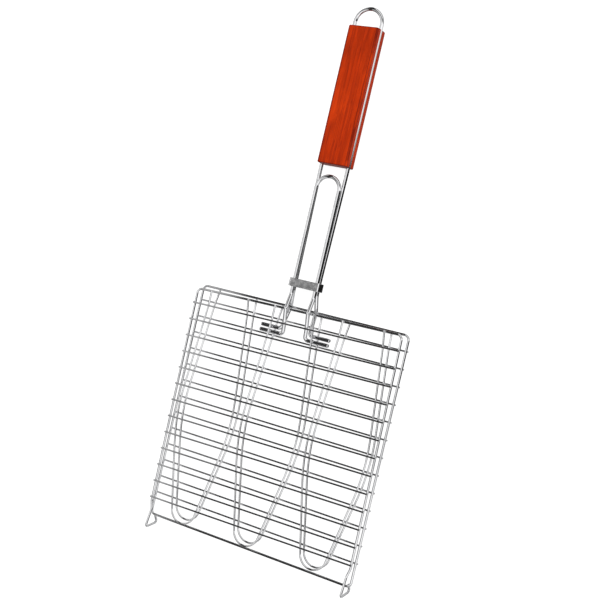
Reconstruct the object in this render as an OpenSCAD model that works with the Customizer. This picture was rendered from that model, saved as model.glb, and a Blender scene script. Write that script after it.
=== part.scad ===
// Hinged wire grill basket: two flat wire leaves that close over the food, a long handle with a
// wooden grip on the lower leaf, a short handle on the upper leaf, and a strip clasp that slides
// along both handles to lock them together.
// Frame: +X across the basket, +Y from the hinge bar towards the grip, +Z up through the leaves.
// Origin: middle of the lower leaf, on the plane under its cross wires, where it rests on a grate.

/* [Wire sizes] */
// Diameter of the frame wire of each leaf
frame_wire_d = 2.5; // [2.2:0.1:2.8]
// Diameter of the cross wires that carry the food
cross_wire_d = 1.8; // [1.6:0.1:2.0]
// Diameter of the long hairpin stiffeners
hairpin_wire_d = 2.0; // [1.8:0.1:2.2]
// Diameter of the wire of both handles
handle_wire_d = 4.0; // [3.6:0.1:4.2]

/* [Leaves] */
// Hinge bar to top frame bar of a leaf, wire centre to wire centre
leaf_length = 250; // [248:1:252]
// Width of the lower leaf, side wire centre to side wire centre
lower_width = 241; // [240:1:242]
// Width of the upper leaf, side wire centre to side wire centre
upper_width = 238.6; // [238:0.2:240]
// Bend radius of the frame corners, at the wire centre
frame_corner_r = 5; // [4.5:0.5:6]
// Gap between the two frame wires when closed, centre to centre
leaf_gap = 6.5; // [6.4:0.1:7]
// How far the loose hooks let the upper leaf drop towards the hinge end
leaf_shift = 2.6; // [2.4:0.1:2.8]
// Angle in its own plane at which the upper leaf sits in its loose hooks
leaf_yaw = 0.79; // [0:0.01:0.8]

/* [Cross wires] */
// Top frame bar to the first cross wire
first_gap = 15.5; // [15:0.1:16]
// Spacing of the cross wires
cross_pitch = 17.6; // [17.4:0.1:17.7]
// How far each cross wire stands proud of the frame wire at its ends
cross_nub = 0.4; // [0.2:0.1:0.6]

/* [Hairpins] */
// Spacing of the three hairpins across the leaf
hairpin_pitch = 78; // [76:0.5:80]
// Half the width of a hairpin where it meets the top frame bar
hairpin_top_half = 22.8; // [21:0.2:24]
// Radius of the round end of a hairpin
hairpin_end_r = 14.6; // [13:0.2:16]
// Hinge bar to the far side of the round end
hairpin_end_y = 6.3; // [6:0.1:8]
// Angle at which each leg opens out from the round end
hairpin_taper = 12; // [10:0.5:13]
// Distance from the hinge bar at which the legs turn back in
hairpin_bow_y = 115; // [110:1:125]
// Radius of that long bend
hairpin_bow_r = 200; // [150:10:220]

/* [Hinge hooks] */
// Middle of the leaf to the plane of each hook
hook_x = 117; // [116.8:0.1:117.2]
// Hinge line of the upper leaf to the near end of the step in to each hook
hook_step_y = 11; // [10:0.5:12]
// Length over which the side wire steps in
hook_step_length = 8.5; // [7:0.5:10]
// How far each hook reaches past the hinge line
hook_reach = 9; // [8:0.5:10]
// How far the hook's tip stands above the leaf
hook_rise = 4.5; // [3.5:0.5:5]
// How far the hook reaches below the leaf
hook_depth = 15.5; // [15:0.5:16]
// Bend radius of the hook's two corners, at the wire centre
hook_corner_r = 2.6; // [2.2:0.1:3]
// How far past the hinge line the hook's lower corner sits
hook_foot_y = 5.2; // [5:0.1:6]
// How far back over the hinge line the hook's free end comes
hook_return_y = 2.5; // [2:0.1:2.6]
// How far below the leaf the hook's free end stops
hook_return_z = 9.5; // [9.4:0.1:10]

/* [Handles] */
// Half the spacing of the main handle's legs at the clasp
main_half_w = 13.6; // [13.4:0.1:13.8]
// Half the spacing of the main handle's legs in the grip
main_grip_half_w = 15.2; // [15:0.1:15.3]
// Half the spacing of the main handle's legs where they turn out into the anchor bars
main_anchor_half_w = 16.7; // [16.7:0.1:17]
// Half the spacing of the short handle's legs
short_half_w = 13; // [12.8:0.1:13]
// Height of the short handle above the main handle, centre to centre
handle_stack = 4.2; // [4.1:0.1:4.3]
// Length of the main handle, hinge bar to the middle of the hanging loop's wire
main_length = 561; // [560:1:564]
// Length of the short handle, hinge bar to the middle of its arch's wire
short_length = 387; // [386:0.5:387]
// Hinge bar to the main handle's anchor bars
main_anchor_y = 226; // [225.8:0.1:226.4]
// Upper leaf's hinge line to the short handle's anchor bars
short_anchor_y = 223.4; // [223:0.1:223.6]
// Middle of the basket to the outer ends of the anchor bars
anchor_half_w = 40.3; // [36:0.5:42]

/* [Grip] */
// Width of the wooden grip
grip_w = 34; // [33:0.2:35]
// Thickness of the wooden grip
grip_t = 18.4; // [16:0.2:19]
// Length of the wooden grip
grip_length = 142; // [138:1:143]
// Hinge bar to the near end of the grip
grip_start = 399; // [398.8:0.1:400]
// Chamfer along the grip's edges
grip_chamfer = 1.6; // [1:0.1:2]

/* [Clasp] */
// Length of the clasp along the handle
clasp_length = 8.6; // [8:0.1:8.8]
// Thickness of the clasp's strip
clasp_strip = 0.9; // [0.8:0.1:1.1]
// Half the clear width inside the clasp
clasp_half_w = 17.3; // [17.3:0.1:17.6]
// Hinge bar to the middle of the clasp when it locks the handles
clasp_y = 275; // [274:0.5:277]
// Inner bend radius of the clasp's corners
clasp_corner_r = 2; // [1:0.2:2.4]

/* [Hidden] */
$fn = 64;
CROSS_WIRES = 13;
SIDES = ["left", "middle", "right"];
weld_bite = 0.03;
handle_clear = 0.06;
groove_clear = 0.15;
clasp_clear = 0.3;
clasp_seam = 0.4;
anchor_corner_r = 3.6;
handle_bend_r = 12;
flare_bend_r = 60;
flare_start = 285;
flare_end = 392;
step_bend_r = 8;
hinge_corner_r = 4.5;
tiny = 0.001;
chord_error = 0.05;
fewest_chords = 2;
thin_facets = 12;
thick_facets = 16;
grip_over = 1;

frame_r = frame_wire_d / 2;
cross_r = cross_wire_d / 2;
hairpin_r = hairpin_wire_d / 2;
handle_r = handle_wire_d / 2;

// Heights in a leaf's own frame: its frame wire is at 0 and +Z points to the other leaf
cross_z = -(frame_r + cross_r - weld_bite);
hairpin_z = cross_z + cross_r + hairpin_r - weld_bite;
anchor_z = hairpin_z + hairpin_r + handle_r - weld_bite;
handle_z = (leaf_gap - handle_stack) / 2;
rest_z = cross_r - cross_z;
first_cross_y = leaf_length - first_gap;

// A wire that passes outside the frame bar and inside the first cross wire slopes at this angle
function weave_slope(over_frame, over_cross) =
    asin((over_frame + over_cross) / norm([first_gap, -cross_z])) - atan2(-cross_z, first_gap);

function unit(v) = v / norm(v);
function turn(a, b, c) = acos(max(-1, min(1, unit(b - a) * unit(c - b))));
function mirrored(path) = [for (i = [len(path) - 1:-1:0]) [-path[i][0], path[i][1], path[i][2]]];
function flipped(list) = [for (i = [len(list) - 1:-1:0]) list[i]];

// ---- Wire forming -------------------------------------------------------------------------

// Straight round wire between two points
module straight_wire(a, b, d) {
    v = b - a;
    translate(a)
        rotate([0, acos(v[2] / norm(v)), atan2(v[1], v[0])])
            cylinder(d = d, h = norm(v));
}

// Points round the bend of radius r at corner b, on the way from a to c
function bend_points(a, b, c, r) =
    let (
        in_dir = unit(b - a),
        out_dir = unit(c - b),
        angle = turn(a, b, c),
        centre = b + unit(out_dir - in_dir) * r / cos(angle / 2),
        u = unit(b - in_dir * r * tan(angle / 2) - centre),
        steps = max(fewest_chords, ceil(angle / (2 * acos(1 - chord_error / r))))
    )
    [for (k = [0:steps]) centre + r * (u * cos(k * angle / steps) + in_dir * sin(k * angle / steps))];

// Middle line of a wire bent along a path, with a bend radius for each inner corner
function bent_line(path, radii) =
    let (
        last = len(path) - 1,
        line = concat(
            [path[0]],
            [for (i = [1:last - 1]) each bend_points(path[i - 1], path[i], path[i + 1], radii[i - 1])],
            [path[last]]
        )
    )
    [for (i = [0:len(line) - 1]) if (i == 0 || norm(line[i] - line[i - 1]) > tiny) line[i]];

// Direction of a line at its point i
function heading(line, i) =
    let (last = len(line) - 1)
    i == 0 ? unit(line[1] - line[0])
    : i == last ? unit(line[last] - line[last - 1])
    : unit(unit(line[i + 1] - line[i]) + unit(line[i] - line[i - 1]));

// Side direction carried along a line without twisting, one for each point
function carried(line, side, i = 0) =
    i == len(line) ? []
    : let (t = heading(line, i), n = unit(side - t * (side * t)))
      concat([n], carried(line, n, i + 1));

// One round wire bent along a path, as a single closed skin of rings
module bent_wire(path, radii, d, facets) {
    line = bent_line(path, radii);
    rings = len(line);
    side = carried(line, cross(heading(line, 0), [0, 0, 1]));
    ring_r = d / 2 * sqrt(2 * PI / (facets * sin(360 / facets)));
    points = [for (i = [0:rings - 1], k = [0:facets - 1])
        let (a = (k + 0.5) * 360 / facets, up = cross(heading(line, i), side[i]))
        line[i] + ring_r * (side[i] * cos(a) + up * sin(a))];
    start_cap = [[for (k = [0:facets - 1]) k]];
    end_cap = [[for (k = [facets - 1:-1:0]) (rings - 1) * facets + k]];
    skin = [for (i = [0:rings - 2], k = [0:facets - 1])
        let (here = i * facets, ahead = here + facets, next = (k + 1) % facets)
        [here + k, ahead + k, ahead + next, here + next]];
    polyhedron(points = points, faces = concat(start_cap, skin, end_cap));
}

// Closed rectangular wire frame lying flat, from its near bar at y = 0
module closed_frame(w, length, near_r, far_r, d) {
    for (side = [-1, 1]) {
        x = side * w / 2;
        straight_wire([x, near_r, 0], [x, length - far_r, 0], d);
        translate([x - side * near_r, near_r, 0])
            rotate([0, 0, side > 0 ? -90 : 180])
                quarter_bend(near_r, d);
        translate([x - side * far_r, length - far_r, 0])
            rotate([0, 0, side > 0 ? 0 : 90])
                quarter_bend(far_r, d);
    }
    straight_wire([near_r - w / 2, 0, 0], [w / 2 - near_r, 0, 0], d);
    straight_wire([far_r - w / 2, length, 0], [w / 2 - far_r, length, 0], d);
}

module quarter_bend(r, d) {
    rotate_extrude(angle = 90)
        translate([r, 0])
            circle(d = d);
}

// ---- Placing ------------------------------------------------------------------------------

// From the lower leaf's own frame, hinge bar at zero, to the model's frame
module on_lower() {
    translate([0, -leaf_length / 2, rest_z]) children();
}

// The upper leaf is turned over and hangs loose in its hooks
module on_upper(yaw = leaf_yaw) {
    on_lower()
        translate([0, -leaf_shift, leaf_gap])
            rotate([0, 0, yaw])
                mirror([0, 0, 1])
                    children();
}

// ---- Parts shared by both leaves ----------------------------------------------------------

// Cross wire number i, counted from the handle end
module cross_wire(i, leaf_width) {
    half = leaf_width / 2 + frame_r + cross_nub;
    y = first_cross_y - (i - 1) * cross_pitch;
    straight_wire([-half, y, cross_z], [half, y, cross_z], cross_wire_d);
}

// Hairpin stiffener: two legs under the frame bar and over the cross wires, round far end
module hairpin(middle_x) {
    slope = weave_slope(frame_r + hairpin_r, cross_r + hairpin_r);
    weave_y = first_cross_y + (cross_r + hairpin_r) * tan(slope / 2);
    top_y = leaf_length + frame_r;
    foot_half = hairpin_end_r * tan((90 - hairpin_taper) / 2);
    bow_half = foot_half + (hairpin_bow_y - hairpin_end_y) * tan(hairpin_taper);
    lean = (bow_half - hairpin_top_half) / (leaf_length - hairpin_bow_y);
    weave_half = hairpin_top_half + (leaf_length - weave_y) * lean;
    top_half = hairpin_top_half + (leaf_length - top_y) * lean;
    leg = [
        [top_half, top_y, hairpin_z - (top_y - weave_y) * tan(slope)],
        [weave_half, weave_y, hairpin_z],
        [bow_half, hairpin_bow_y, hairpin_z],
        [foot_half, hairpin_end_y, hairpin_z]
    ];
    leg_radii = [cross_r + hairpin_r, hairpin_bow_r, hairpin_end_r];
    translate([middle_x, 0, 0])
        bent_wire(concat(leg, mirrored(leg)), concat(leg_radii, flipped(leg_radii)), hairpin_wire_d, thin_facets);
}

// One side of a handle where it weaves through a leaf: the anchor bar's free end, its corner,
// the pass inside the first cross wire, the pass outside the frame bar, and the handle level
function handle_root(anchor_y, half_w, root_half_w) =
    let (
        over_frame = frame_r + handle_r + handle_clear,
        over_cross = cross_r + handle_r + handle_clear,
        slope = weave_slope(over_frame, over_cross),
        cross_pass_y = first_cross_y + over_cross * sin(slope),
        cross_pass_z = cross_z + over_cross * cos(slope),
        dip_z = -over_frame / cos(slope),
        level_y = leaf_length + (handle_z - dip_z) / tan(slope),
        splay = (root_half_w - half_w) / (level_y - anchor_y)
    )
    [
        [anchor_half_w, anchor_y, anchor_z],
        [root_half_w, anchor_y, anchor_z],
        [half_w + splay * (level_y - cross_pass_y), cross_pass_y, cross_pass_z],
        [half_w + splay * (level_y - leaf_length), leaf_length, dip_z],
        [half_w, level_y, handle_z]
    ];

// Bend radii of a handle's root, one for each inner corner
root_radii = [anchor_corner_r, handle_bend_r, frame_r + handle_r + handle_clear, handle_bend_r];

// ---- Lower leaf ---------------------------------------------------------------------------

module lower_frame_wire() {
    color("silver")
        on_lower()
            closed_frame(lower_width, leaf_length, hinge_corner_r, frame_corner_r, frame_wire_d);
}

module lower_cross_wire(i) {
    color("gainsboro") on_lower() cross_wire(i, lower_width);
}

module lower_hairpin(k) {
    color("lightgray") on_lower() hairpin((k - 1) * hairpin_pitch);
}

// Long handle: anchor bars, two legs that open out towards the grip, and the hanging loop
module main_handle_wire() {
    root = handle_root(main_anchor_y, main_half_w, main_anchor_half_w);
    side = concat(root, [
        [main_half_w, flare_start, handle_z],
        [main_grip_half_w, flare_end, handle_z],
        [main_grip_half_w, main_length, handle_z]
    ]);
    radii = concat(root_radii, [flare_bend_r, flare_bend_r, main_grip_half_w]);
    color("silver")
        on_lower()
            bent_wire(concat(side, mirrored(side)), concat(radii, flipped(radii)), handle_wire_d, thick_facets);
}

// Rectangle with chamfered corners, centred
module chamfered_rect(w, h, c) {
    polygon([
        [-w / 2 + c, -h / 2], [w / 2 - c, -h / 2], [w / 2, -h / 2 + c], [w / 2, h / 2 - c],
        [w / 2 - c, h / 2], [-w / 2 + c, h / 2], [-w / 2, h / 2 - c], [-w / 2, -h / 2 + c]
    ]);
}

// Wooden grip, chamfered all round, with a groove down each side that the handle springs into
module grip() {
    groove_r = handle_r + groove_clear;
    long = grip_length + 2 * grip_over;
    color("sienna")
        on_lower()
            translate([0, grip_start + grip_length / 2, handle_z])
                difference() {
                    intersection() {
                        rotate([90, 0, 0])
                            linear_extrude(height = grip_length, center = true)
                                chamfered_rect(grip_w, grip_t, grip_chamfer);
                        linear_extrude(height = grip_t, center = true)
                            chamfered_rect(grip_w, grip_length, grip_chamfer / 2);
                    }
                    for (side = [-1, 1]) {
                        translate([side * main_grip_half_w, 0, 0])
                            rotate([90, 0, 0])
                                cylinder(r = groove_r, h = long, center = true);
                        translate([side * (main_grip_half_w + groove_r), 0, 0])
                            cube([2 * groove_r, long, 2 * groove_r], center = true);
                    }
                }
}

// ---- Upper leaf ---------------------------------------------------------------------------

// Three-sided frame whose free ends are bent into closed hooks around the hinge bar
module upper_frame_wire() {
    half = upper_width / 2;
    side = [
        [hook_x, hook_return_y, hook_return_z],
        [hook_x, -hook_foot_y, hook_depth],
        [hook_x, -hook_reach, -hook_rise],
        [hook_x, hook_step_y, 0],
        [half, hook_step_y + hook_step_length, 0],
        [half, leaf_length, 0]
    ];
    radii = [hook_corner_r, hook_corner_r, step_bend_r, step_bend_r, frame_corner_r];
    color("silver")
        on_upper()
            bent_wire(concat(side, mirrored(side)), concat(radii, flipped(radii)), frame_wire_d, thin_facets);
}

module upper_cross_wire(i) {
    color("gainsboro") on_upper() cross_wire(i, upper_width);
}

module upper_hairpin(k) {
    color("lightgray") on_upper() hairpin((k - 1) * hairpin_pitch);
}

// Short hairpin handle: anchor bars, two straight legs and a round arch, held in line with the
// main handle by the clasp
module short_handle_wire() {
    root = handle_root(short_anchor_y, short_half_w, short_half_w);
    side = concat(root, [[short_half_w, short_length + leaf_shift, handle_z]]);
    radii = concat(root_radii, [short_half_w]);
    color("silver")
        on_upper(yaw = 0)
            bent_wire(concat(side, mirrored(side)), concat(radii, flipped(radii)), handle_wire_d, thick_facets);
}

// ---- Clasp --------------------------------------------------------------------------------

module rounded_rect(w, h, r) {
    square([w - 2 * r, h], center = true);
    square([w, h - 2 * r], center = true);
    for (x = [-1, 1], y = [-1, 1])
        translate([x * (w / 2 - r), y * (h / 2 - r)])
            circle(r = r);
}

// Flat strip bent into a ring around both handles, with its butt seam underneath
module clasp() {
    inner_w = 2 * clasp_half_w;
    inner_h = handle_stack + handle_wire_d + 2 * clasp_clear;
    color("darkgray")
        on_lower()
            translate([0, clasp_y, leaf_gap / 2])
                rotate([90, 0, 0])
                    linear_extrude(height = clasp_length, center = true)
                        difference() {
                            rounded_rect(
                                inner_w + 2 * clasp_strip,
                                inner_h + 2 * clasp_strip,
                                clasp_corner_r + clasp_strip
                            );
                            rounded_rect(inner_w, inner_h, clasp_corner_r);
                            translate([0, -inner_h / 2 - clasp_strip / 2])
                                square([clasp_seam, 2 * clasp_strip], center = true);
                        }
}

// ---- Assembly -----------------------------------------------------------------------------

lower_frame_wire();
for (i = [1:CROSS_WIRES])
    lower_cross_wire(i);
for (k = [0:2])
    lower_hairpin(k);
main_handle_wire();
grip();
upper_frame_wire();
for (i = [1:CROSS_WIRES])
    upper_cross_wire(i);
for (k = [0:2])
    upper_hairpin(k);
short_handle_wire();
clasp();
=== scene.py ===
"""Looks of the grill basket. Round wires, weld beads, the stained grip and the strip clasp are
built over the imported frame: places come from the frame's boxes, bends from the dimensions below.
Everything is in metres, in the frame of the CAD model."""

import math

import bmesh
import bpy
from mathutils import Matrix, Vector, noise


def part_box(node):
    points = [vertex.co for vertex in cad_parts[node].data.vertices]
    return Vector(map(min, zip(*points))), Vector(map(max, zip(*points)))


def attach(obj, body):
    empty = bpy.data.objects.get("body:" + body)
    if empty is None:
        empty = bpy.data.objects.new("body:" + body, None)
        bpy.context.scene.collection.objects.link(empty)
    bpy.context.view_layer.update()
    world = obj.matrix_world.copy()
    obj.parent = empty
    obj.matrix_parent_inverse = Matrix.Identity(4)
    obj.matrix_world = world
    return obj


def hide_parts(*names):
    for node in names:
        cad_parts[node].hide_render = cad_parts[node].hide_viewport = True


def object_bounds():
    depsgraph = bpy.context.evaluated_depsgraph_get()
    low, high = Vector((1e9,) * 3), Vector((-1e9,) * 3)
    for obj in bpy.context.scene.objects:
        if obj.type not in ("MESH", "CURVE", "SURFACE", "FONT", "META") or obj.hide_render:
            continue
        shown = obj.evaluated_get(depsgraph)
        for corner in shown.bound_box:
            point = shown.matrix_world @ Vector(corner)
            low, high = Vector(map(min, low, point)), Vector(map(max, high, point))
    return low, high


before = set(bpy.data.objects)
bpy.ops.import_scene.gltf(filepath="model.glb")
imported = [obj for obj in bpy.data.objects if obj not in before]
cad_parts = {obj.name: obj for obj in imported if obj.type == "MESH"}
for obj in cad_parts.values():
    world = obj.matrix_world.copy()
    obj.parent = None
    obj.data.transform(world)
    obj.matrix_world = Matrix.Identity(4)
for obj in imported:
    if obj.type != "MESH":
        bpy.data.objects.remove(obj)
cad_lo, cad_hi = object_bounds()

MM = 0.001
LOWER, UPPER, CLASP = "lower_leaf", "upper_leaf", "clasp"
SIDES = ("left", "middle", "right")
CROSS_WIRES = range(1, 14)
UP = Vector((0, 0, 1))

# Wire radii that the frame's boxes do not show, and how close crossing wires come
HANDLE_R = 2 * MM
HAIRPIN_R = 1 * MM
HANDLE_CLEAR = 0.06 * MM
WELD_BITE = 0.03 * MM

# Frame wires. Along a leaf, y is the distance from its hinge line
FRAME_CORNER_R = 5 * MM
HINGE_CORNER_R = 4.5 * MM
HOOK_X = 117 * MM
HOOK_STEP_Y = 11 * MM
HOOK_STEP_LENGTH = 8.5 * MM
HOOK_STEP_R = 8 * MM
HOOK_REACH = 9 * MM
HOOK_RISE = 4.5 * MM
HOOK_DEPTH = 15.5 * MM
HOOK_FOOT_Y = 5.2 * MM
HOOK_RETURN_Y = 2.5 * MM
HOOK_RETURN_Z = 9.5 * MM
HOOK_CORNER_R = 2.6 * MM

# Hairpins: nearly straight legs, bowed out, then tapering to a round end near the hinge
HAIRPIN_PITCH = 78 * MM
HAIRPIN_TOP_HALF = 22.8 * MM
HAIRPIN_BOW_Y = 115 * MM
HAIRPIN_BOW_R = 200 * MM
HAIRPIN_TAPER = math.radians(12)
HAIRPIN_END_Y = 6.3 * MM
HAIRPIN_END_R = 14.6 * MM

# Handles: half the distance between a handle's legs, and the bars that anchor it to its leaf
MAIN_HALF = 13.6 * MM
MAIN_GRIP_HALF = 15.2 * MM
MAIN_ANCHOR_HALF = 16.7 * MM
MAIN_ANCHOR_Y = 226 * MM
SHORT_HALF = 13 * MM
SHORT_ANCHOR_Y = 223.4 * MM
ANCHOR_CORNER_R = 3.6 * MM
HANDLE_BEND_R = 12 * MM
FLARE_START = 285 * MM
FLARE_END = 392 * MM
FLARE_BEND_R = 60 * MM

# How finely shapes are drawn
BEND_STEP = math.radians(4)
STRETCH = 12 * MM
SAME_PLACE = 0.001 * MM
THIN_SIDES = 24
THICK_SIDES = 32

# A cut wire end, in wire radii: the round of its edge, and the straight ring that supports it
END_ROUND = 0.4
END_SUPPORT = 0.3
END_TURNS = [math.radians(degrees) for degrees in (0, 30, 60, 90)]


# ---- Lines -----------------------------------------------------------------------------------


def points(*corners):
    return [Vector(corner) for corner in corners]


def placed(matrix, line):
    return [matrix @ point for point in line]


def bend(a, b, c, radius):
    """Points round the bend at corner b, on the way from a to c."""
    way_in, way_out = (b - a).normalized(), (c - b).normalized()
    angle = way_in.angle(way_out)
    centre = b + (way_out - way_in).normalized() * radius / math.cos(angle / 2)
    start = (b - way_in * radius * math.tan(angle / 2) - centre).normalized()
    steps = max(2, math.ceil(angle / BEND_STEP))
    turns = [k * angle / steps for k in range(steps + 1)]
    return [centre + (start * math.cos(t) + way_in * math.sin(t)) * radius for t in turns]


def without_repeats(line):
    kept = [line[0]]
    for point in line[1:]:
        if (point - kept[-1]).length > SAME_PLACE:
            kept.append(point)
    return kept


def stretched(line):
    """Adds points to the long straight stretches."""
    full = [line[0]]
    for a, b in zip(line, line[1:]):
        steps = max(1, math.ceil((b - a).length / STRETCH))
        full += [a.lerp(b, k / steps) for k in range(1, steps + 1)]
    return full


def open_line(path, radii):
    """Middle line of a wire bent along a path, with a radius for each inner corner."""
    bends = [p for corner in zip(path, path[1:], path[2:], radii) for p in bend(*corner)]
    return stretched(without_repeats([path[0], *bends, path[-1]]))


def closed_line(corners, radii):
    """The same for a closed outline, with a radius for every corner."""
    before, after = corners[-1:] + corners[:-1], corners[1:] + corners[:1]
    line = [p for corner in zip(before, corners, after, radii) for p in bend(*corner)]
    line = without_repeats([*line, line[0]])
    return stretched(line)[:-1]


def both_sides(half):
    """A path from one side, carried on through its mirror image."""
    return half + [Vector((-p.x, p.y, p.z)) for p in reversed(half)]


def mirrored_line(half, radii):
    """Middle line of a wire that is the same on both sides, from the path of one side."""
    return open_line(both_sides(half), radii + radii[::-1])


def headings(line, closed):
    """The direction of a line at each of its points."""
    runs = [(b - a).normalized() for a, b in zip(line, line[1:])]
    first, last = runs[0], runs[-1]
    if closed:
        first = last = (line[0] - line[-1]).normalized()
    return [(a + b).normalized() for a, b in zip([first, *runs], [*runs, last])]


# ---- Shapes ----------------------------------------------------------------------------------


def new_piece(name, corners, faces, flat=()):
    mesh = bpy.data.meshes.new(name)
    mesh.from_pydata([tuple(corner) for corner in corners], [], faces)
    for i, polygon in enumerate(mesh.polygons):
        polygon.use_smooth = i not in flat
    piece = bpy.data.objects.new(name, mesh)
    bpy.context.scene.collection.objects.link(piece)
    return piece


def stand_for(piece, node, body):
    """Ties a piece to its body, in place of a CAD node."""
    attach(piece, body)
    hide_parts(node)


def skin(size, count, closed=False):
    """Faces over a row of rings: count rings, each of size points."""
    faces = []
    for i in range(count if closed else count - 1):
        here = i * size
        ahead = (i + 1) % count * size
        for k in range(size):
            after = (k + 1) % size
            faces.append((here + k, ahead + k, ahead + after, here + after))
    return faces


def end_faces(size, count):
    """The two faces that close an open row of rings."""
    last = (count - 1) * size
    return [tuple(range(size)), tuple(last + k for k in reversed(range(size)))]


def rounded_end(point, outward, radius):
    """Rings, as (centre, scale), from a wire's full width to its cut face, rounded over."""
    rings = [(point - outward * (END_ROUND + END_SUPPORT) * radius, 1)]
    for turn in END_TURNS:
        back = END_ROUND * radius * (1 - math.sin(turn))
        rings.append((point - outward * back, 1 - END_ROUND * (1 - math.cos(turn))))
    return rings


def sweep(name, line, section, closed=False, end_radius=0.0):
    """Carries a section, given as (side, up) points, along a line."""
    ways = headings(line, closed)
    rings = [(point, way, 1.0) for point, way in zip(line, ways)]
    if end_radius:
        start = [(p, ways[0], s) for p, s in rounded_end(line[0], -ways[0], end_radius)]
        end = [(p, ways[-1], s) for p, s in rounded_end(line[-1], ways[-1], end_radius)]
        rings = start[::-1] + rings[1:-1] + end
    side = ways[0].cross(UP).normalized()
    corners = []
    for centre, way, scale in rings:
        side = (side - way * side.dot(way)).normalized()
        rise = way.cross(side)
        corners += [centre + (side * s + rise * u) * scale for s, u in section]
    size, count = len(section), len(rings)
    faces = skin(size, count, closed)
    ends = [] if closed else end_faces(size, count)
    return new_piece(name, corners, faces + ends, range(len(faces), len(faces) + len(ends)))


def circle(radius, sides):
    turns = [2 * math.pi * k / sides for k in range(sides)]
    return [(radius * math.cos(t), radius * math.sin(t)) for t in turns]


def rounded_section(half_side, half_up, radius):
    corners = [
        (half_side, -half_up),
        (half_side, half_up),
        (-half_side, half_up),
        (-half_side, -half_up),
    ]
    line = closed_line([Vector((s, 0, u)) for s, u in corners], [radius] * len(corners))
    return [(p.x, p.z) for p in line]


# ---- Where things are, from the frame --------------------------------------------------------


def middle(node):
    lo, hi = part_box(node)
    return (lo + hi) / 2


def thickness(node):
    lo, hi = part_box(node)
    return hi.z - lo.z


def half_width(node):
    lo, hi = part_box(node)
    return (hi.x - lo.x) / 2


frame_lo, frame_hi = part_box("lower_frame_wire")
grip_lo, grip_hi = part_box("grip")
clasp_lo, clasp_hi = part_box("clasp")

frame_r = thickness("lower_frame_wire") / 2
cross_r = thickness("lower_cross_wire_1") / 2
hinge_y = frame_lo.y + frame_r
leaf_length = frame_hi.y - frame_r - hinge_y
anchor_half = half_width("main_handle_wire")
loop_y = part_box("main_handle_wire")[1].y - HANDLE_R - hinge_y
lower_half = half_width("lower_frame_wire") - frame_r
upper_half = lower_half + half_width("upper_cross_wire_1") - half_width("lower_cross_wire_1")

# Heights and lengths in a leaf's own frame: its frame wire at z = 0, its hinge line at y = 0
lower_z = middle("lower_frame_wire").z
first_cross = middle("lower_cross_wire_1")
first_cross_y = first_cross.y - hinge_y
cross_pitch = first_cross.y - middle("lower_cross_wire_2").y
cross_z = first_cross.z - lower_z
hairpin_z = cross_z + cross_r + HAIRPIN_R - WELD_BITE
anchor_z = hairpin_z + HAIRPIN_R + HANDLE_R - WELD_BITE
handle_z = middle("grip").z - lower_z

# The upper leaf is turned over, and lies skewed in its loose hooks
upper_first = middle("upper_cross_wire_1")
upper_turn = math.asin(-upper_first.x / first_cross_y)
upper_y = upper_first.y - math.cos(upper_turn) * first_cross_y
upper_z = upper_first.z + cross_z
arch_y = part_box("short_handle_wire")[1].y - HANDLE_R - upper_y

# From a leaf's own frame to the basket's. The short handle is not skewed with its leaf
on_lower = Matrix.Translation((0, hinge_y, lower_z))
turned_over = Matrix.Translation((0, upper_y, upper_z)) @ Matrix.Scale(-1, 4, UP)
on_upper = turned_over @ Matrix.Rotation(upper_turn, 4, "Z")
LEAVES = {LOWER: ("lower", on_lower), UPPER: ("upper", on_upper)}


def hairpin_shifts():
    """How far each hairpin lies to the side of the leaf's middle."""
    return [Vector((k * HAIRPIN_PITCH, 0, 0)) for k in (-1, 0, 1)]


def cross_y(i):
    return first_cross_y - (i - 1) * cross_pitch


# ---- Wires -----------------------------------------------------------------------------------


def weave_slope(over_frame, over_cross):
    """Slope of a wire that passes outside the frame bar and inside the first cross wire."""
    gap = leaf_length - first_cross_y
    reach = math.hypot(gap, cross_z)
    return math.asin((over_frame + over_cross) / reach) - math.atan2(-cross_z, gap)


def hairpin_line():
    """A long hairpin: two legs under the frame bar and over the cross wires, and a round end."""
    slope = weave_slope(frame_r + HAIRPIN_R, cross_r + HAIRPIN_R)
    weave_y = first_cross_y + (cross_r + HAIRPIN_R) * math.tan(slope / 2)
    top_y = leaf_length + frame_r
    top_z = hairpin_z - (top_y - weave_y) * math.tan(slope)
    foot_half = HAIRPIN_END_R * math.tan((math.pi / 2 - HAIRPIN_TAPER) / 2)
    bow_half = foot_half + (HAIRPIN_BOW_Y - HAIRPIN_END_Y) * math.tan(HAIRPIN_TAPER)
    lean = (bow_half - HAIRPIN_TOP_HALF) / (leaf_length - HAIRPIN_BOW_Y)
    leg = points(
        (HAIRPIN_TOP_HALF + (leaf_length - top_y) * lean, top_y, top_z),
        (HAIRPIN_TOP_HALF + (leaf_length - weave_y) * lean, weave_y, hairpin_z),
        (bow_half, HAIRPIN_BOW_Y, hairpin_z),
        (foot_half, HAIRPIN_END_Y, hairpin_z),
    )
    return mirrored_line(leg, [cross_r + HAIRPIN_R, HAIRPIN_BOW_R, HAIRPIN_END_R])


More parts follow.
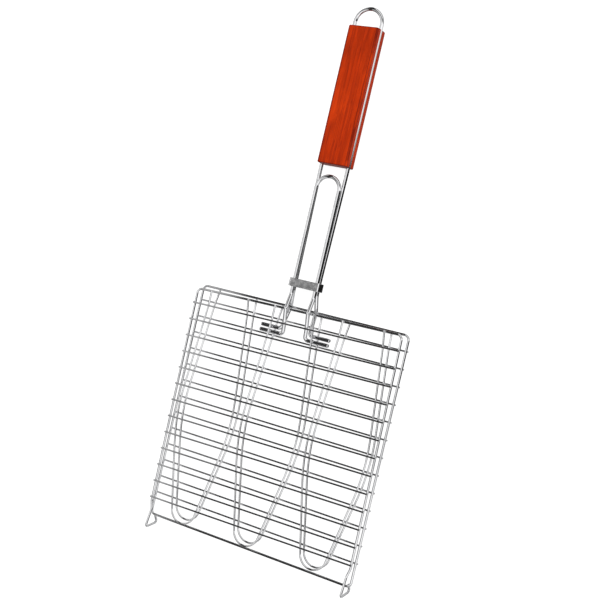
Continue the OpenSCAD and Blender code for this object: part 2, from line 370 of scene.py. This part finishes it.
def handle_root(anchor_y, half, root_half):
    """One side of a handle where it weaves through a leaf, from its anchor bar to the level leg."""
    over_frame = frame_r + HANDLE_R + HANDLE_CLEAR
    over_cross = cross_r + HANDLE_R + HANDLE_CLEAR
    slope = weave_slope(over_frame, over_cross)
    pass_y = first_cross_y + over_cross * math.sin(slope)
    dip_z = -over_frame / math.cos(slope)
    level_y = leaf_length + (handle_z - dip_z) / math.tan(slope)
    splay = (root_half - half) / (level_y - anchor_y)
    path = points(
        (anchor_half, anchor_y, anchor_z),
        (root_half, anchor_y, anchor_z),
        (half + splay * (level_y - pass_y), pass_y, cross_z + over_cross * math.cos(slope)),
        (half + splay * (level_y - leaf_length), leaf_length, dip_z),
        (half, level_y, handle_z),
    )
    return path, [ANCHOR_CORNER_R, HANDLE_BEND_R, over_frame, HANDLE_BEND_R]


def main_handle_line():
    path, radii = handle_root(MAIN_ANCHOR_Y, MAIN_HALF, MAIN_ANCHOR_HALF)
    path += points(
        (MAIN_HALF, FLARE_START, handle_z),
        (MAIN_GRIP_HALF, FLARE_END, handle_z),
        (MAIN_GRIP_HALF, loop_y, handle_z),
    )
    return mirrored_line(path, radii + [FLARE_BEND_R, FLARE_BEND_R, MAIN_GRIP_HALF])


def short_handle_line():
    path, radii = handle_root(SHORT_ANCHOR_Y, SHORT_HALF, SHORT_HALF)
    path += points((SHORT_HALF, arch_y, handle_z))
    return mirrored_line(path, radii + [SHORT_HALF])


def lower_frame_line():
    corners = points(
        (lower_half, 0, 0),
        (lower_half, leaf_length, 0),
        (-lower_half, leaf_length, 0),
        (-lower_half, 0, 0),
    )
    return closed_line(corners, [HINGE_CORNER_R, FRAME_CORNER_R, FRAME_CORNER_R, HINGE_CORNER_R])


def upper_frame_line():
    path = points(
        (HOOK_X, HOOK_RETURN_Y, HOOK_RETURN_Z),
        (HOOK_X, -HOOK_FOOT_Y, HOOK_DEPTH),
        (HOOK_X, -HOOK_REACH, -HOOK_RISE),
        (HOOK_X, HOOK_STEP_Y, 0),
        (upper_half, HOOK_STEP_Y + HOOK_STEP_LENGTH, 0),
        (upper_half, leaf_length, 0),
    )
    radii = [HOOK_CORNER_R, HOOK_CORNER_R, HOOK_STEP_R, HOOK_STEP_R, FRAME_CORNER_R]
    return mirrored_line(path, radii)


def build_wires(chrome):
    """Every wire of both leaves, each riding on its own leaf."""

    def build(node, body, line, radius, sides=THIN_SIDES, closed=False):
        name = node + ("_round" if "wire" in node else "_wire")
        piece = sweep(name, line, circle(radius, sides), closed, 0 if closed else radius)
        piece.data.materials.append(chrome)
        stand_for(piece, node, body)

    for body, (leaf, place) in LEAVES.items():
        end_x = half_width(leaf + "_cross_wire_1")
        for i in CROSS_WIRES:
            line = stretched(points((-end_x, cross_y(i), cross_z), (end_x, cross_y(i), cross_z)))
            build(f"{leaf}_cross_wire_{i}", body, placed(place, line), cross_r)
        for side, shift in zip(SIDES, hairpin_shifts()):
            line = placed(place @ Matrix.Translation(shift), hairpin_line())
            build(f"{leaf}_hairpin_{side}", body, line, HAIRPIN_R)
    line = placed(on_lower, lower_frame_line())
    build("lower_frame_wire", LOWER, line, frame_r, closed=True)
    line = placed(on_upper, upper_frame_line())
    build("upper_frame_wire", UPPER, line, frame_r)
    line = placed(on_lower, main_handle_line())
    build("main_handle_wire", LOWER, line, HANDLE_R, THICK_SIDES)
    line = placed(turned_over, short_handle_line())
    build("short_handle_wire", UPPER, line, HANDLE_R, THICK_SIDES)


# ---- Weld beads ------------------------------------------------------------------------------

FRAME_BEAD_R = 1.0 * MM
HAIRPIN_BEAD_R = 0.8 * MM
ANCHOR_BEAD_R = 1.3 * MM
BEAD_HEIGHT = 0.5 * MM
BEAD_LUMPS = 0.12
BEAD_LUMP_SCALE = 2


def crossings(line, y):
    """Places where a line crosses a straight wire at distance y from the hinge line."""
    found = []
    for a, b in zip(line, line[1:]):
        if (a.y - y) * (b.y - y) < 0:
            found.append(a.lerp(b, (y - a.y) / (b.y - a.y)))
    return found


def add_bead(mesh, place, centre, radius):
    """A small lumpy bead squeezed out where two wires are welded."""
    made = bmesh.ops.create_icosphere(mesh, subdivisions=2, radius=1)
    for vertex in made["verts"]:
        lump = 1 + BEAD_LUMPS * noise.noise(vertex.co * BEAD_LUMP_SCALE + centre / MM)
        size = Vector((radius, radius, BEAD_HEIGHT)) * lump
        vertex.co = place @ (centre + Vector(a * b for a, b in zip(vertex.co, size)))


def build_beads(body, half, anchor_y, metal):
    """One piece for a leaf: beads at the frame's sides, along the hairpins and at the anchors."""
    leaf, place = LEAVES[body]
    mesh = bmesh.new()
    cross_top = cross_z + cross_r
    hairpin_top = hairpin_z + HAIRPIN_R
    pin = hairpin_line()
    for i in CROSS_WIRES:
        for side in (-1, 1):
            add_bead(mesh, place, Vector((side * half, cross_y(i), cross_top)), FRAME_BEAD_R)
    for shift in hairpin_shifts():
        for i in CROSS_WIRES:
            for at in crossings(pin, cross_y(i)):
                add_bead(mesh, place, Vector((at.x, at.y, cross_top)) + shift, HAIRPIN_BEAD_R)
        for at in crossings(pin, leaf_length):
            add_bead(mesh, place, Vector((at.x, at.y, -frame_r)) + shift, FRAME_BEAD_R)
    for at in crossings(pin, anchor_y):
        add_bead(mesh, place, Vector((at.x, at.y, hairpin_top)), ANCHOR_BEAD_R)
    piece = new_piece(leaf + "_weld_beads", [], [])
    mesh.to_mesh(piece.data)
    mesh.free()
    for polygon in piece.data.polygons:
        polygon.use_smooth = True
    piece.data.materials.append(metal)
    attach(piece, body)


# ---- Grip ------------------------------------------------------------------------------------

GRIP_CHAMFER = 1.6 * MM
GRIP_SOFT_R = 0.5 * MM
GROOVE_R = 2.15 * MM
GROOVE_LIP_R = 0.3 * MM
GRIP_STEP = 2.5 * MM
GRIP_SHARP_EDGE = math.radians(25)
# Distance from an end, and how far the outline is drawn in there
GRIP_END = ((0, 0.85 * MM), (0.12 * MM, 0.6 * MM), (0.6 * MM, 0.12 * MM), (0.9 * MM, 0))
# Uneven sanding: how deep it goes, how wide it is and how much it is drawn out along the grip
SANDING_DEPTH = 0.05 * MM
SANDING_SIZE = 12 * MM
SANDING_ALONG = 0.4


def grip_outline():
    """Section of the grip about its middle: chamfered, with a round groove down each side."""
    half_w = half_width("grip")
    half_t = thickness("grip") / 2
    deep = MAIN_GRIP_HALF - GROOVE_R
    right = [
        (half_w - GRIP_CHAMFER, half_t, GRIP_SOFT_R),
        (half_w, half_t - GRIP_CHAMFER, GRIP_SOFT_R),
        (half_w, GROOVE_R, GROOVE_LIP_R),
        (deep, GROOVE_R, GROOVE_R),
        (deep, -GROOVE_R, GROOVE_R),
        (half_w, -GROOVE_R, GROOVE_LIP_R),
        (half_w, GRIP_CHAMFER - half_t, GRIP_SOFT_R),
        (half_w - GRIP_CHAMFER, -half_t, GRIP_SOFT_R),
    ]
    corners = right + [(-x, z, r) for x, z, r in reversed(right)]
    return closed_line([Vector((x, 0, z)) for x, z, r in corners], [r for x, z, r in corners])


def drawn_in(outline, amount):
    """The outline moved inwards by an amount, along each point's own normal."""
    moved = []
    for point, way in zip(outline, headings(outline, closed=True)):
        moved.append(point + Vector((way.z, 0, -way.x)).normalized() * amount)
    return moved


def grip_stations():
    """Sections along the grip, as (distance from its near end, how far it is drawn in)."""
    length = grip_hi.y - grip_lo.y
    steps = round(length / GRIP_STEP)
    rounded = GRIP_END[-1][0]
    straight = length - 2 * rounded
    between = [(rounded + straight * k / steps, 0) for k in range(1, steps)]
    return [*GRIP_END, *between, *((length - along, inset) for along, inset in reversed(GRIP_END))]


def build_grip(wood):
    outline = grip_outline()
    centre_z = middle("grip").z
    stations = grip_stations()
    corners = []
    for along, inset in stations:
        for point in drawn_in(outline, inset):
            at = Vector((point.x, grip_lo.y + along, centre_z + point.z))
            sanded = noise.noise(Vector((at.x, at.y * SANDING_ALONG, at.z)) / SANDING_SIZE) - 1
            corners.append(at + Vector((point.x, 0, point.z)).normalized() * SANDING_DEPTH * sanded)
    size, count = len(outline), len(stations)
    piece = new_piece("grip_wood", corners, skin(size, count) + end_faces(size, count))
    mesh = bmesh.new()
    mesh.from_mesh(piece.data)
    bmesh.ops.triangulate(mesh, faces=[face for face in mesh.faces if len(face.verts) > 4])
    bmesh.ops.recalc_face_normals(mesh, faces=mesh.faces)
    for edge in mesh.edges:
        edge.smooth = edge.calc_face_angle(0) < GRIP_SHARP_EDGE
    mesh.to_mesh(piece.data)
    mesh.free()
    piece.data.materials.append(wood)
    stand_for(piece, "grip", LOWER)


# ---- Clasp -----------------------------------------------------------------------------------

CLASP_STRIP = 0.9 * MM
CLASP_EDGE_R = 0.25 * MM
CLASP_CORNER_R = 2 * MM
CLASP_SEAM = 0.4 * MM


def build_clasp(steel):
    """A flat strip bent round both handles, its two ends meeting underneath."""
    half_w = half_width("clasp") - CLASP_STRIP / 2
    half_h = (thickness("clasp") - CLASP_STRIP) / 2
    corner_r = CLASP_CORNER_R + CLASP_STRIP / 2
    half = points((CLASP_SEAM / 2, 0, -half_h), (half_w, 0, -half_h), (half_w, 0, half_h))
    line = placed(Matrix.Translation(middle("clasp")), mirrored_line(half, [corner_r, corner_r]))
    section = rounded_section((clasp_hi.y - clasp_lo.y) / 2, CLASP_STRIP / 2, CLASP_EDGE_R)
    piece = sweep("clasp_strip", line, section)
    piece.data.materials.append(steel)
    stand_for(piece, "clasp", CLASP)


# ---- Building materials from nodes -----------------------------------------------------------


class Nodes:
    """Builds a tree of shader nodes, a node at a time."""

    def __init__(self, tree):
        self.tree = tree

    def node(self, kind, inputs=(), **settings):
        made = self.tree.nodes.new("ShaderNode" + kind)
        for key, value in settings.items():
            setattr(made, key, value)
        for key, value in dict(inputs).items():
            self.put(made.inputs[key], value)
        return made

    def put(self, socket, value):
        if isinstance(value, bpy.types.NodeSocket):
            self.tree.links.new(value, socket)
        else:
            socket.default_value = value

    def between(self, value, low, high, to_low=0.0, to_high=1.0):
        """Stretches the part of value from low to high over 0 to 1 or another span, smoothly."""
        span = {"From Min": low, "From Max": high, "To Min": to_low, "To Max": to_high}
        made = self.node("MapRange", {"Value": value, **span}, interpolation_type="SMOOTHSTEP")
        return made.outputs["Result"]

    def math(self, operation, *values):
        return self.node("Math", dict(enumerate(values)), operation=operation).outputs[0]

    def apart(self, vector):
        """The x, y and z of a vector."""
        return self.node("SeparateXYZ", {"Vector": vector}).outputs[:]


class Material(Nodes):
    """A material round one Principled shader."""

    def __init__(self, name):
        self.material = bpy.data.materials.new(name)
        self.material.use_nodes = True
        super().__init__(self.material.node_tree)
        self.surface = self.tree.nodes["Principled BSDF"]
        self.place = self.node("TexCoord").outputs["Object"]

    def noise(self, scale, detail, roughness, squeeze=None, distortion=0.0):
        """Noise with so many waves to a metre. A squeeze below 1 draws it out along that axis."""
        place = self.place
        if squeeze:
            place = self.node("Mapping", {"Vector": place, "Scale": squeeze}).outputs["Vector"]
        kind = {"Scale": scale, "Detail": detail, "Roughness": roughness, "Distortion": distortion}
        return self.node("TexNoise", {"Vector": place, **kind}).outputs["Fac"]

    def mix(self, share, a, b):
        colours = {"A_Color": a, "B_Color": b}
        made = self.node("Mix", {"Factor": share}, data_type="RGBA")
        for socket in made.inputs:
            if socket.identifier in colours:
                self.put(socket, colours[socket.identifier])
        return next(socket for socket in made.outputs if socket.identifier == "Result_Color")

    def stain(self, colour, mask, strength, other):
        """Puts another colour over the first where the mask is 1, up to a strength."""
        return self.mix(self.math("MULTIPLY", mask, strength), colour, other)

    def bump(self, height, distance, strength, under=None):
        inputs = {"Height": height, "Distance": distance, "Strength": strength}
        if under is not None:
            inputs["Normal"] = under
        return self.node("Bump", inputs).outputs["Normal"]

    def finish(self, **inputs):
        for key, value in inputs.items():
            self.put(self.surface.inputs[key.replace("_", " ")], value)
        return self.material


# ---- Materials -------------------------------------------------------------------------------

CHROME = (0.86, 0.86, 0.869, 1)
CHROME_CLOUDED = (0.74, 0.744, 0.757, 1)
WELD_BRIGHT = (0.62, 0.62, 0.63, 1)
WELD_BURNT = (0.38, 0.37, 0.36, 1)
# Strip colours: a bright grey for faces that look sideways, and a darker, mottled grey of painted
# shade for faces that look up or down
STRIP_FACE = (0.92, 0.92, 0.93, 1)
STRIP_PAINTED_SHADE_DARK = (0.36, 0.36, 0.365, 1)
STRIP_PAINTED_SHADE_LIGHT = (0.66, 0.66, 0.66, 1)
STAIN_DEEP = (0.24, 0.0150, 0.0003, 1)
STAIN_WARM = (0.37, 0.0235, 0.0005, 1)
STAIN_BRIGHT = (0.43, 0.0310, 0.0010, 1)
STAIN_STREAK = (0.16, 0.008, 0.001, 1)
STAIN_PORE = (0.08, 0.004, 0.001, 1)
STAIN_GATHERED = (0.09, 0.004, 0.001, 1)
# Where the stain gathers: beside the chamfers, by the distances in from a side and a face
# added up, and at the ends. Each is the value where it is still clear, then where it is full
STAIN_LINE_START = (1.85 * MM, 2.0 * MM)
STAIN_LINE_STOP = (2.7 * MM, 2.25 * MM)
STAIN_END = (1.6 * MM, 0.5 * MM)
STAIN_WANDER = 0.5 * MM


def chrome_material():
    """Bright plating over drawn wire: a slow sway, fine haze and a few dull spots."""
    s = Material("wire_chrome")
    haze = s.noise(scale=900, detail=4, roughness=0.6)
    cloud = s.noise(scale=70, detail=3, roughness=0.6)
    spots = s.between(s.noise(scale=420, detail=2, roughness=0.5), 0.68, 0.80)
    rough = s.math("MULTIPLY_ADD", cloud, 0.05, 0.03)
    rough = s.math("MULTIPLY_ADD", spots, 0.12, rough)
    colour = s.mix(s.between(cloud, 0.35, 0.7), CHROME, CHROME_CLOUDED)
    sway = s.bump(s.noise(scale=9, detail=1, roughness=0.3), distance=3.5 * MM, strength=0.6)
    normal = s.bump(haze, distance=0.01 * MM, strength=0.5, under=sway)
    return s.finish(Base_Color=colour, Metallic=1.0, Roughness=rough, Normal=normal)


def weld_material():
    """Welds under the plating: duller and a little darker than the wire."""
    s = Material("weld_metal")
    cloud = s.noise(scale=500, detail=4, roughness=0.6)
    colour = s.mix(cloud, WELD_BRIGHT, WELD_BURNT)
    rough = s.between(cloud, 0.3, 0.7, 0.22, 0.5)
    normal = s.bump(cloud, distance=0.1 * MM, strength=0.6)
    return s.finish(Base_Color=colour, Metallic=1.0, Roughness=rough, Normal=normal)


def clasp_material():
    """Stamped strip: dull, lumpy plating on the wide faces that look up or down, and smoother
    sides. Its colour follows which way a face looks, which is painted shade.
    """
    s = Material("clasp_steel")
    brushed = s.noise(scale=900, detail=4, roughness=0.7, squeeze=(0.08, 1, 1))
    mottle = s.noise(scale=260, detail=4, roughness=0.65)
    # The colour follows which way a face looks, which is painted shade: faces that look up or down
    # get a darker, mottled grey, faces that look sideways a bright grey.
    facing_up = s.apart(s.node("NewGeometry").outputs["Normal"])[2]
    up_down_faces = s.between(s.math("ABSOLUTE", facing_up), 0.93, 0.99)
    colour = s.mix(s.between(mottle, 0.35, 0.65), STRIP_PAINTED_SHADE_DARK, STRIP_PAINTED_SHADE_LIGHT)
    colour = s.mix(up_down_faces, STRIP_FACE, colour)
    rough = s.math("MULTIPLY_ADD", up_down_faces, 0.24, 0.05)
    rough = s.math("MULTIPLY_ADD", brushed, 0.08, rough)
    lines = s.bump(brushed, distance=0.04 * MM, strength=0.4)
    lumps = s.math("MULTIPLY", mottle, up_down_faces)
    normal = s.bump(lumps, distance=0.3 * MM, strength=0.7, under=lines)
    return s.finish(Base_Color=colour, Metallic=1.0, Roughness=rough, Normal=normal)


def wood_material():
    """Red-brown stained hardwood with a thin finish, darker where the stain gathers on edges."""
    s = Material("grip_wood")
    fibres = s.noise(scale=420, detail=6, roughness=0.7, squeeze=(1, 0.06, 1))
    bands = s.noise(scale=110, detail=3, roughness=0.55, squeeze=(1, 0.12, 1), distortion=1.4)
    blotch = s.noise(scale=42, detail=4, roughness=0.6, squeeze=(1, 0.45, 1))
    pores = s.noise(scale=1500, detail=2, roughness=0.5, squeeze=(1, 0.035, 1))
    pores = s.between(pores, 0.60, 0.70)
    streaks = s.noise(scale=650, detail=2, roughness=0.5, squeeze=(1, 0.02, 1))
    streaks = s.between(streaks, 0.54, 0.62)
    colour = s.mix(s.between(bands, 0.3, 0.7), STAIN_DEEP, STAIN_WARM)
    colour = s.mix(s.between(blotch, 0.42, 0.72), colour, STAIN_BRIGHT)
    colour = s.stain(colour, s.between(fibres, 0.45, 0.62), 0.65, STAIN_DEEP)
    colour = s.stain(colour, streaks, 0.45, STAIN_STREAK)
    colour = s.stain(colour, pores, 0.55, STAIN_PORE)
    colour = s.stain(colour, grip_edges(s), 0.8, STAIN_GATHERED)
    grain = s.bump(fibres, distance=0.05 * MM, strength=0.4)
    sunk = s.math("MULTIPLY", pores, -1.0)
    return s.finish(
        Base_Color=colour,
        Roughness=s.between(blotch, 0.3, 0.7, 0.38, 0.5),
        Normal=s.bump(sunk, distance=0.06 * MM, strength=0.5, under=grain),
        Specular_IOR_Level=0.05,
        Coat_Weight=0.03,
        Coat_Roughness=0.2,
        Coat_Normal=s.bump(blotch, distance=0.2 * MM, strength=0.2),
    )


def grip_edges(s):
    """1 on a thin, uneven line beside each edge of the chamfers, and at the grip's two ends."""
    centre = middle("grip")
    half_sizes = (grip_hi - grip_lo) / 2
    inside = []
    for value, at, half in zip(s.apart(s.place), centre, half_sizes):
        inside.append(s.math("SUBTRACT", half, s.math("ABSOLUTE", s.math("SUBTRACT", value, at))))
    x_in, y_in, z_in = inside
    worn = s.noise(scale=140, detail=3, roughness=0.6, squeeze=(1, 0.3, 1))
    worn = s.math("MULTIPLY", worn, STAIN_WANDER)
    corner = s.math("ADD", s.math("ADD", x_in, z_in), worn)
    line = s.between(corner, *STAIN_LINE_START)
    line = s.math("MULTIPLY", line, s.between(corner, *STAIN_LINE_STOP))
    end = s.between(s.math("ADD", y_in, worn), *STAIN_END)
    return s.math("MAXIMUM", line, end)


# ---- Stage, light and camera -----------------------------------------------------------------

WHITE = (1, 1, 1, 1)
FLOOR_HALF = 20
FLOOR_GREY = (0.25, 0.25, 0.25, 1)
FLOOR_GLOW = 0.86
STUDIO_WHITE = 1.15
KEY_AT = (0.35, 0.75, 1.1)
KEY_LOOKS_AT = (0, 0.2, 0)
KEY_SIZE = 0.9
KEY_WATTS = 12
CAMERA_AT = (0.5142, 0.1522, 0.9929)
CAMERA_LOOKS_AT = (-0.0061, 0.1337, 0)
CAMERA_ROLL = math.radians(78.6)
CAMERA_LENS = 66
CAMERA_SENSOR = 36


def build_floor():
    """A pale floor under the basket that glows a little, and that the metal does not mirror."""
    z = cad_lo.z
    corners = [(-FLOOR_HALF, -FLOOR_HALF, z), (FLOOR_HALF, -FLOOR_HALF, z)]
    corners += [(FLOOR_HALF, FLOOR_HALF, z), (-FLOOR_HALF, FLOOR_HALF, z)]
    floor = new_piece("floor", corners, [(0, 1, 2, 3)], flat=(0,))
    s = Material("floor")
    glow = s.node("Emission", {"Color": WHITE, "Strength": FLOOR_GLOW})
    matte = s.node("BsdfDiffuse", {"Color": FLOOR_GREY})
    both = s.node("AddShader", {0: glow.outputs[0], 1: matte.outputs[0]})
    s.put(s.tree.nodes["Material Output"].inputs["Surface"], both.outputs[0])
    floor.data.materials.append(s.material)
    floor.visible_glossy = False


def build_studio():
    """A white studio for everything, with dark cards that only the polished metal mirrors."""
    world = bpy.data.worlds.new("studio")
    bpy.context.scene.world = world
    world.use_nodes = True
    s = Nodes(world.node_tree)
    x, y, z = s.apart(s.node("TexCoord").outputs["Generated"])

    def card(shade, *edges):
        """A soft-edged card: each edge is a coordinate, its value just outside and just inside."""
        for value, outside, inside in edges:
            shade = s.math("MULTIPLY", shade, s.between(value, outside, inside))
        return shade

    horizon = card(0.80, (z, 0.40, 0.20), (z, -0.40, -0.20))
    below = card(0.45, (z, -0.30, -0.55))
    across = card(0.97, (x, -0.60, -0.495), (x, -0.22, -0.31), (z, -0.80, -0.55))
    left = card(0.60, (x, -0.40, -0.60), (z, 0.10, -0.15))
    left_hinge_side = card(0.80, (x, -0.50, -0.66), (y, -0.05, -0.15), (z, 0.85, 0.75))
    right = card(0.99, (x, 0.15, 0.35), (z, 0.92, 0.74), (y, -0.20, -0.06), (y, 0.21, 0.09))
    grip_end = card(0.80, (y, 0.36, 0.44), (y, 0.70, 0.60), (z, 0.20, 0.30))
    hinge_end = card(0.80, (y, -0.54, -0.62), (y, -0.86, -0.76), (z, 0.20, 0.30))
    dark = horizon
    for other in (below, across, left, left_hinge_side, right, grip_end, hinge_end):
        dark = s.math("MAXIMUM", dark, other)
    window = card(0.85, (x, 0.15, 0.35), (y, 0.10, 0.15), (y, 0.36, 0.30), (z, -0.30, -0.10))
    dark = s.math("MULTIPLY", dark, s.math("SUBTRACT", 1.0, window))
    mirrored = s.math("MULTIPLY", s.math("SUBTRACT", 1.0, dark), STUDIO_WHITE)

    glossy = s.node("LightPath").outputs["Is Glossy Ray"]
    level = s.math("ADD", s.math("SUBTRACT", 1.0, glossy), s.math("MULTIPLY", glossy, mirrored))
    background = s.tree.nodes["Background"]
    s.put(background.inputs["Strength"], level)
    s.put(background.inputs["Color"], WHITE)


def add_to_scene(name, data):
    made = bpy.data.objects.new(name, data)
    bpy.context.scene.collection.objects.link(made)
    return made


def build_key_light():
    light = bpy.data.lights.new("key", "AREA")
    light.size = KEY_SIZE
    light.energy = KEY_WATTS
    key = add_to_scene("key", light)
    key.location = KEY_AT
    way = Vector(KEY_LOOKS_AT) - Vector(KEY_AT)
    key.rotation_euler = way.to_track_quat("-Z", "Y").to_euler()
    key.visible_glossy = False


def build_camera():
    data = bpy.data.cameras.new("camera")
    data.lens = CAMERA_LENS
    data.sensor_width = CAMERA_SENSOR
    camera = add_to_scene("camera", data)
    way = Vector(CAMERA_LOOKS_AT) - Vector(CAMERA_AT)
    level = way.to_track_quat("-Z", "Y").to_matrix().to_4x4()
    roll = Matrix.Rotation(-CAMERA_ROLL, 4, "Z")
    camera.matrix_world = Matrix.Translation(CAMERA_AT) @ level @ roll
    bpy.context.scene.camera = camera


build_wires(chrome_material())
weld = weld_material()
build_beads(LOWER, lower_half, MAIN_ANCHOR_Y, weld)
build_beads(UPPER, upper_half, SHORT_ANCHOR_Y, weld)
build_grip(wood_material())
build_clasp(clasp_material())
build_floor()
build_studio()
build_key_light()
build_camera()
bpy.context.scene.view_settings.view_transform = "Standard"
